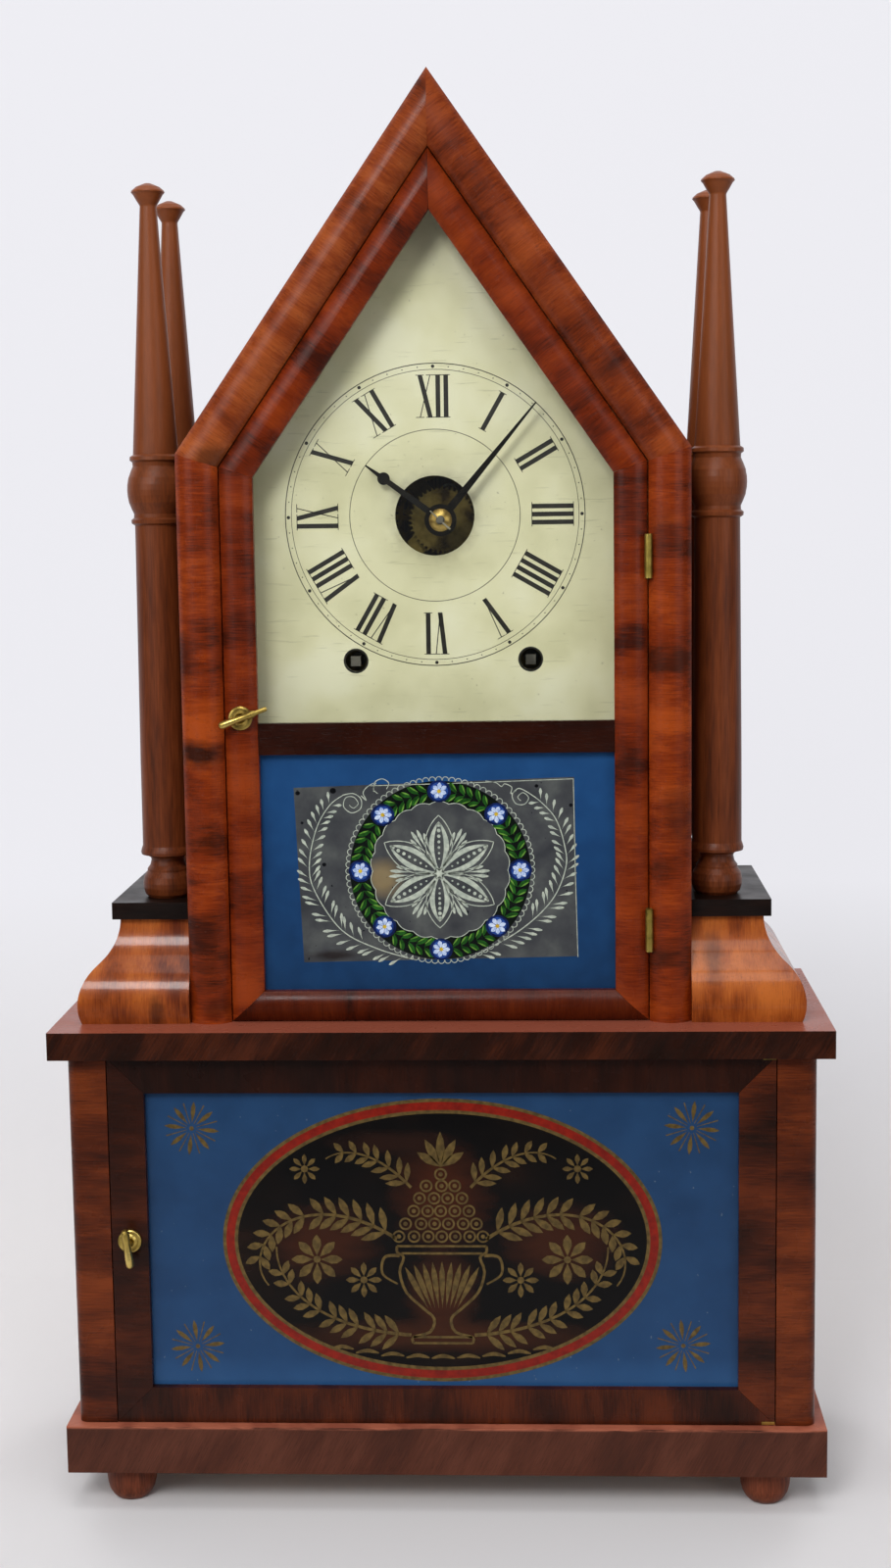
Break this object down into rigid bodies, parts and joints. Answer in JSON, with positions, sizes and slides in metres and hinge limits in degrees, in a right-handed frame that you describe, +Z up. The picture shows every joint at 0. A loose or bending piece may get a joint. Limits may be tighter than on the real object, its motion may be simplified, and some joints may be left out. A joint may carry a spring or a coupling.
{
  "type": "steeple clock",
  "caption": "Double steeple shelf clock with turned columns on ogee pedestals, pointed glazed upper door, painted tablets, pendulum movement and a leaf spring in the base.",
  "frame": {"origin": "on the floor plane under the middle of the whole clock", "axes": "+Z up, the front faces -Y, +X to the viewer's right"},
  "size_m": [0.3634, 0.14, 0.667],
  "materials": {
    "case_veneer": "satin veneer",
    "golden_veneer": "satin veneer",
    "dark_wood": "satin",
    "turned_wood": "satin",
    "foot_wood": "matte",
    "secondary_wood": "matte",
    "brass": "satin, lightly tarnished",
    "steel": "satin",
    "iron": "matte",
    "dial_paint": "matte",
    "black_metal": "satin",
    "clear_glass": "clear",
    "upper_tablet_glass": "reverse painted",
    "lower_tablet_glass": "reverse painted"
  },
  "bodies": {
    "case": {"feet": "foot_wood", "plinth_facing": "case_veneer", "base_board": "secondary_wood", "lower_side_left": "case_veneer", "lower_side_right": "case_veneer", "lower_back_board": "secondary_wood", "lower_stile_left": "case_veneer", "lower_stile_right": "case_veneer", "cornice": "case_veneer", "ogee_left": "golden_veneer", "ogee_right": "golden_veneer", "column_block_left": "dark_wood", "column_block_right": "dark_wood", "columns_left": "turned_wood", "columns_right": "turned_wood", "upper_side_left": "case_veneer", "upper_side_right": "case_veneer", "roof_left": "case_veneer", "roof_right": "case_veneer", "upper_back_board": "secondary_wood", "frame_stile_left": "golden_veneer", "frame_stile_right": "golden_veneer", "frame_rake_left": "golden_veneer", "frame_rake_right": "golden_veneer", "dial_plate": "dial_paint", "dial_cleats": "secondary_wood", "movement_blocks": "secondary_wood", "plate_front": "brass", "plate_back": "brass", "leaf_spring": "steel", "spring_saddle": "iron", "gong": "steel", "case_hinges": "brass"},
    "upper_door": {"upper_door_frame": "golden_veneer", "dial_glass": "clear_glass", "upper_tablet": "upper_tablet_glass", "door_hinges": "brass", "upper_latch_plate": "brass"},
    "upper_latch": {"upper_latch": "brass"},
    "lower_door": {"lower_door_frame": "case_veneer", "lower_tablet": "lower_tablet_glass", "lower_pivots": "brass", "lower_latch_plate": "brass"},
    "lower_latch": {"lower_latch": "brass"},
    "centre": {"minute_hand": "black_metal", "centre_arbor": "brass"},
    "hour": {"hour_hand": "black_metal", "hour_wheel": "brass"},
    "motion": {"motion_wheel": "brass"},
    "time_second": {"time_second": "brass"},
    "time_barrel": {"time_barrel": "brass"},
    "fourth": {"fourth_wheel": "brass"},
    "escape": {"escape_wheel": "brass"},
    "pendulum": {"verge": "steel", "pendulum": "brass"},
    "strike_barrel": {"strike_barrel": "brass"},
    "strike_second": {"strike_second": "brass"},
    "strike_third": {"strike_third": "brass"},
    "fly": {"fly": "brass"},
    "hammer": {"hammer": "steel"}
  },
  "joints": [
    {"name": "upper_door_hinge", "type": "hinge", "parent": "case", "child": "upper_door", "pos_m": [0.09785, -0.0479, 0.248], "axis": [0, 0, 1], "range_deg": [0, 150]},
    {"name": "upper_latch_turn", "type": "hinge", "parent": "upper_door", "child": "upper_latch", "pos_m": [-0.09, -0.0444, 0.3775], "axis": [0, 1, 0], "range_deg": [-90, 90]},
    {"name": "lower_door_pivot", "type": "hinge", "parent": "case", "child": "lower_door", "pos_m": [0.1523, -0.058, 0.0425], "axis": [0, 0, 1], "range_deg": [0, 120]},
    {"name": "lower_latch_turn", "type": "hinge", "parent": "lower_door", "child": "lower_latch", "pos_m": [-0.147, -0.0595, 0.13185], "axis": [0, 1, 0], "range_deg": [-90, 90]},
    {"name": "minute_spin", "type": "hinge", "parent": "case", "child": "centre", "pos_m": [0.003, 0.0086, 0.4669], "axis": [0, 1, 0], "continuous": true},
    {"name": "hour_spin", "type": "hinge", "parent": "case", "child": "hour", "pos_m": [0.003, -0.006, 0.4669], "axis": [0, 1, 0], "continuous": true},
    {"name": "motion_spin", "type": "hinge", "parent": "case", "child": "motion", "pos_m": [0.0222, -0.006, 0.4669], "axis": [0, 1, 0], "continuous": true},
    {"name": "time_second_spin", "type": "hinge", "parent": "case", "child": "time_second", "pos_m": [-0.02684, 0.0086, 0.43878], "axis": [0, 1, 0], "continuous": true},
    {"name": "time_barrel_spin", "type": "hinge", "parent": "case", "child": "time_barrel", "pos_m": [-0.03802, 0.0086, 0.40173], "axis": [0, 1, 0], "continuous": true},
    {"name": "fourth_spin", "type": "hinge", "parent": "case", "child": "fourth", "pos_m": [-0.01228, 0.0086, 0.48793], "axis": [0, 1, 0], "continuous": true},
    {"name": "escape_spin", "type": "hinge", "parent": "case", "child": "escape", "pos_m": [-0.02616, 0.0086, 0.50776], "axis": [0, 1, 0], "continuous": true},
    {"name": "pendulum_swing", "type": "hinge", "parent": "case", "child": "pendulum", "pos_m": [-0.02616, -0.014, 0.52926], "axis": [0, 1, 0], "range_deg": [-3, 3]},
    {"name": "strike_barrel_spin", "type": "hinge", "parent": "case", "child": "strike_barrel", "pos_m": [0.04402, 0.0086, 0.40173], "axis": [0, 1, 0], "continuous": true},
    {"name": "strike_second_spin", "type": "hinge", "parent": "case", "child": "strike_second", "pos_m": [0.03931, 0.0086, 0.44015], "axis": [0, 1, 0], "continuous": true},
    {"name": "strike_third_spin", "type": "hinge", "parent": "case", "child": "strike_third", "pos_m": [0.04403, 0.0086, 0.46693], "axis": [0, 1, 0], "continuous": true},
    {"name": "fly_spin", "type": "hinge", "parent": "case", "child": "fly", "pos_m": [0.04103, 0.0086, 0.4859], "axis": [0, 1, 0], "continuous": true},
    {"name": "hammer_lift", "type": "hinge", "parent": "case", "child": "hammer", "pos_m": [0.06333, 0.0086, 0.45134], "axis": [0, 1, 0], "range_deg": [0, 10]}
  ],
  "couplings": [
    {"joint": "hour_spin", "follows": "minute_spin", "ratio": 0.083333},
    {"joint": "motion_spin", "follows": "minute_spin", "ratio": -0.33333},
    {"joint": "time_second_spin", "follows": "minute_spin", "ratio": -0.13889},
    {"joint": "time_barrel_spin", "follows": "minute_spin", "ratio": 0.018275},
    {"joint": "fourth_spin", "follows": "minute_spin", "ratio": -9},
    {"joint": "escape_spin", "follows": "minute_spin", "ratio": 90},
    {"joint": "strike_barrel_spin", "follows": "strike_second_spin", "ratio": -0.13158},
    {"joint": "strike_third_spin", "follows": "strike_second_spin", "ratio": -7.5},
    {"joint": "fly_spin", "follows": "strike_second_spin", "ratio": 52.5}
  ]
}
